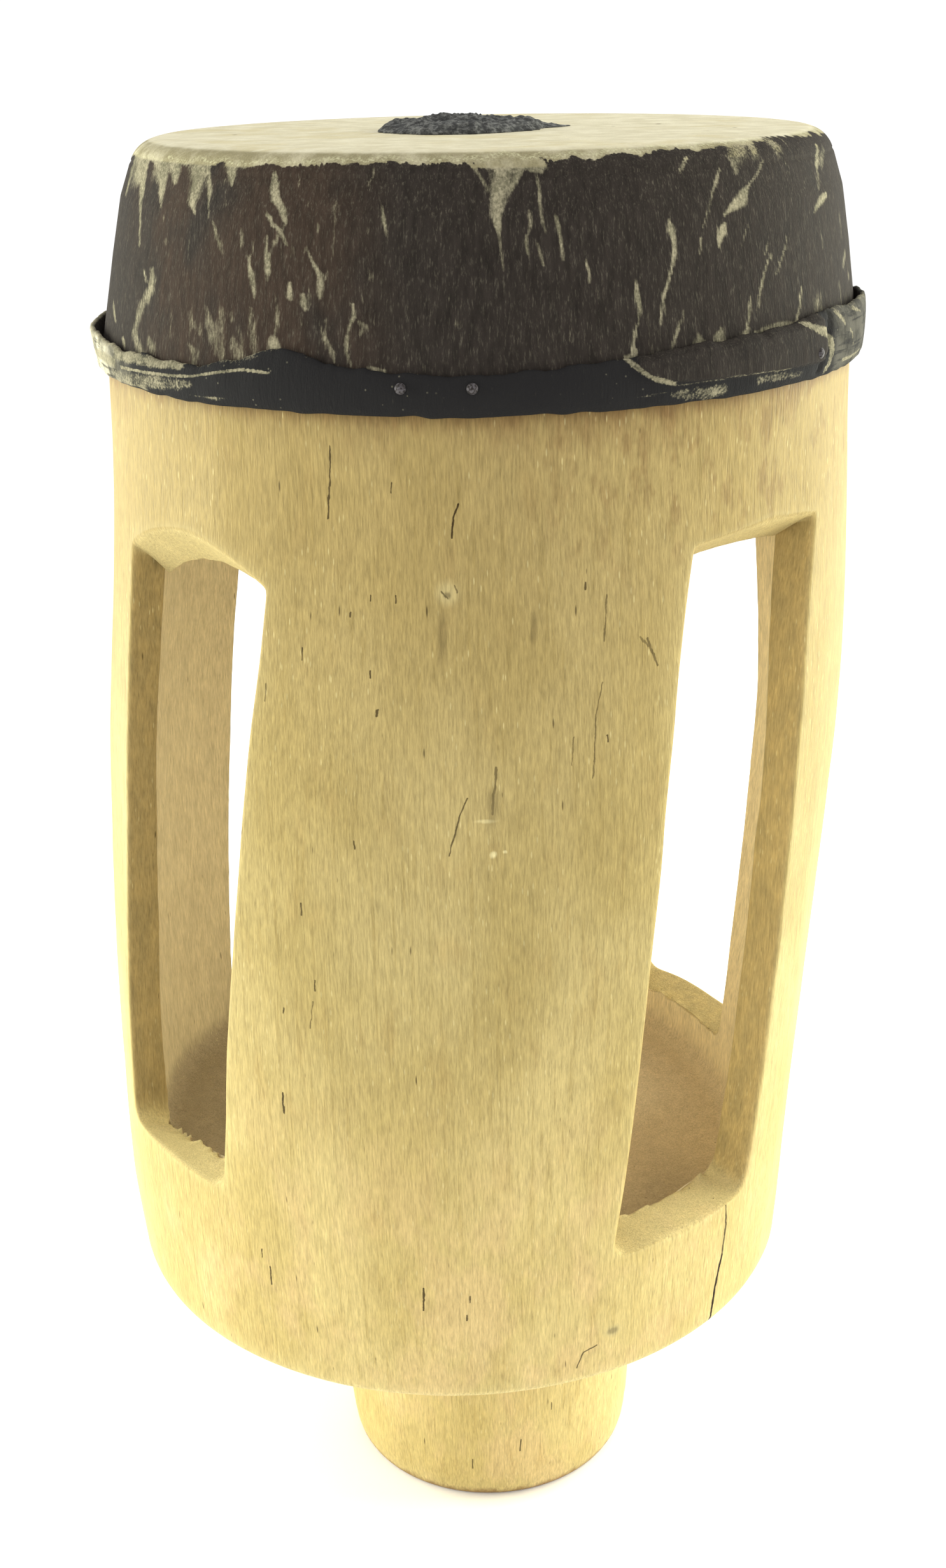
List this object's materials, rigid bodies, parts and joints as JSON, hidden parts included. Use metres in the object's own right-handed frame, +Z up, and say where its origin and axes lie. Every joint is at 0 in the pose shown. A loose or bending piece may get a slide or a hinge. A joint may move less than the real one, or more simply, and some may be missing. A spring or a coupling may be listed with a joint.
{
  "type": "ceremonial drum",
  "caption": "Standing single-headed hand drum: a hollow barrel body on a small round foot, tall windows cut through its wall, and a hairy hide head with a turned-up hem and dark tuning paste.",
  "frame": {"origin": "centre of the foot's flat underside", "axes": "+Z up the drum's axis to the head; +Y towards the back, away from the stave between the two front windows; +X to the right seen from the front"},
  "size_m": [0.3059, 0.2962, 0.5888],
  "materials": {
    "wood": "bare pale wood, hand-carved and rubbed smooth, faint grain, small cracks and tool nicks",
    "hide": "raw hide with short dark hair on its sides, shaved bare and pale on the head, near-black at the hem",
    "paste": "dry fibrous charcoal-grey paste, matt and lumpy",
    "tack": "dulled steel, a little worn on the crown"
  },
  "bodies": {
    "root": {"drum_body": "wood", "drumhead_hide": "hide", "tuning_paste": "paste", "hem_tack_1": "tack", "hem_tack_2": "tack", "hem_tack_3": "tack", "hem_tack_4": "tack", "hem_tack_5": "tack", "hem_tack_6": "tack"}
  },
  "joints": []
}
